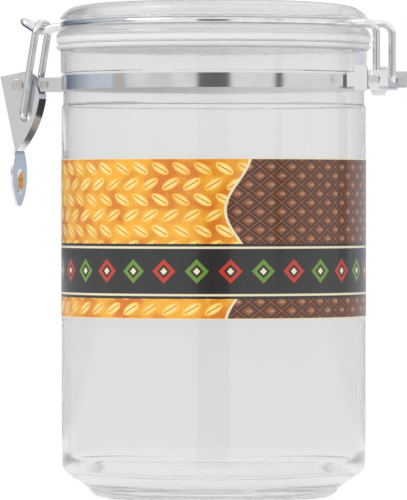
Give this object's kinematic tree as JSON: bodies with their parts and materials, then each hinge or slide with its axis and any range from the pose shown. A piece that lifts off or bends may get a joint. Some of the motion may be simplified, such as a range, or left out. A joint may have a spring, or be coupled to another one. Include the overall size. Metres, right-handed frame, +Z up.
{
  "type": "clamp-lid food canister",
  "caption": "Clear plastic food canister with a domed clear lid, silicone gasket, neck band, wire hinge, over-centre wire clamp latch and a wrap label.",
  "frame": {"origin": "on the jar's axis at its base plane", "axes": "+Z up along the jar's axis, +X towards the lid hinge, -X towards the latch"},
  "size_m": [0.1648, 0.1244, 0.1945],
  "materials": {
    "clear_plastic": "clear polished",
    "silicone": "translucent satin",
    "bright_wire": "polished",
    "bright_sheet": "polished",
    "rivet_steel": "satin",
    "label": "printed gloss"
  },
  "bodies": {
    "canister": {"canister_body": "clear_plastic", "neck_band": "bright_sheet", "band_ear_spacer": "rivet_steel", "band_ear_rivet": "rivet_steel", "lever_pivot_rivet": "rivet_steel", "hinge_bracket": "bright_sheet", "label_wrap": "label"},
    "lid": {"lid": "clear_plastic", "lid_gasket": "silicone", "lid_wire": "bright_wire"},
    "lever": {"latch_lever": "bright_sheet"},
    "bail": {"latch_bail": "bright_wire"}
  },
  "joints": [
    {"name": "lid_hinge", "type": "hinge", "parent": "canister", "child": "lid", "pos_m": [0.0704, 0, 0.164], "axis": [0, 1, 0], "range_deg": [0, 105]},
    {"name": "lever_swing", "type": "hinge", "parent": "canister", "child": "lever", "pos_m": [-0.0814, 0, 0.163], "axis": [0, 1, 0], "range_deg": [0, 110]},
    {"name": "bail_swing", "type": "hinge", "parent": "lid", "child": "bail", "pos_m": [-0.072, 0, 0.1875], "axis": [0, 1, 0], "range_deg": [0, 40]}
  ]
}
